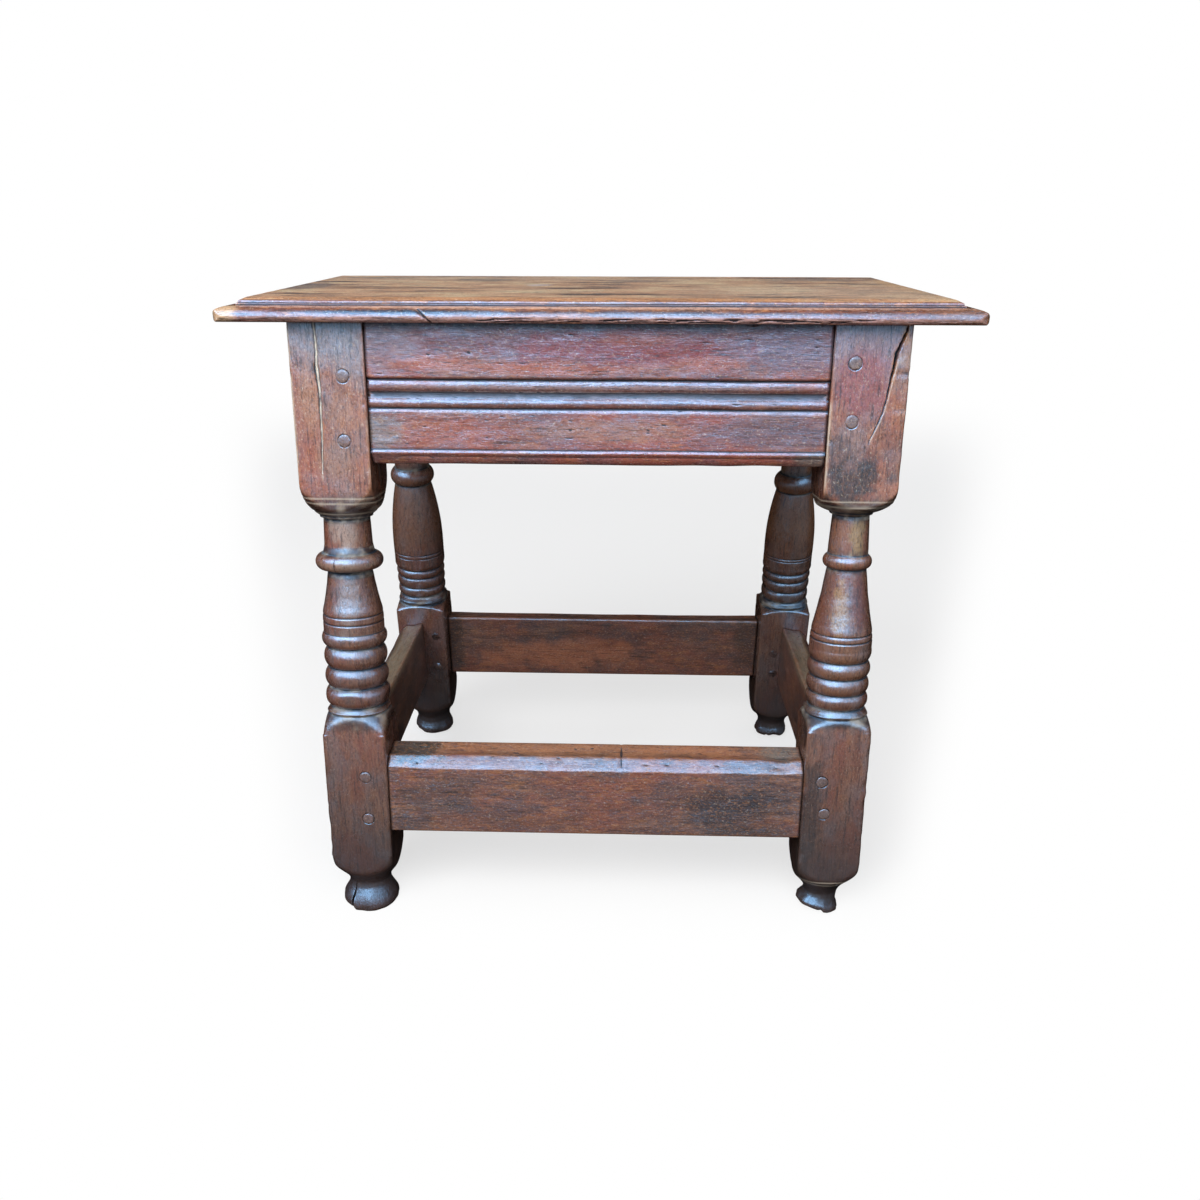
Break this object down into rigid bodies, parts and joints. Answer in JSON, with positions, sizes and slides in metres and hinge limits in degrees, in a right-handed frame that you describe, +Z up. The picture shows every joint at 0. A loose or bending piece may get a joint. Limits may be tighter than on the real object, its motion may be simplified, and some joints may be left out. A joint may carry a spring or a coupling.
{
  "type": "joint stool",
  "caption": "Low rectangular oak stool: a moulded board on turned legs that splay to front and back, joined by moulded rails and plain low stretchers, all pegged.",
  "frame": {"origin": "on the floor under the middle of the board", "axes": "+X along the board's length, +Y towards the rear across it, +Z up"},
  "size_m": [0.48, 0.3272, 0.438],
  "materials": {
    "top_oak": "bleached and worn oak, waxed",
    "leg_oak": "old dark waxed oak, rubbed on the edges",
    "rail_oak": "old dark waxed oak, slightly purple",
    "stretcher_oak": "old dark waxed oak, worn by feet",
    "peg_oak": "end grain of riven oak, greyed"
  },
  "bodies": {
    "root": {"top_board": "top_oak", "top_pegs": "peg_oak", "leg_front_left": "leg_oak", "leg_front_right": "leg_oak", "leg_rear_left": "leg_oak", "leg_rear_right": "leg_oak", "rail_front": "rail_oak", "rail_rear": "rail_oak", "rail_left": "rail_oak", "rail_right": "rail_oak", "stretcher_front": "stretcher_oak", "stretcher_rear": "stretcher_oak", "stretcher_left": "stretcher_oak", "stretcher_right": "stretcher_oak", "rail_pegs_front": "peg_oak", "rail_pegs_rear": "peg_oak", "rail_pegs_left": "peg_oak", "rail_pegs_right": "peg_oak", "stretcher_pegs_front": "peg_oak", "stretcher_pegs_rear": "peg_oak", "stretcher_pegs_left": "peg_oak", "stretcher_pegs_right": "peg_oak"}
  },
  "joints": []
}
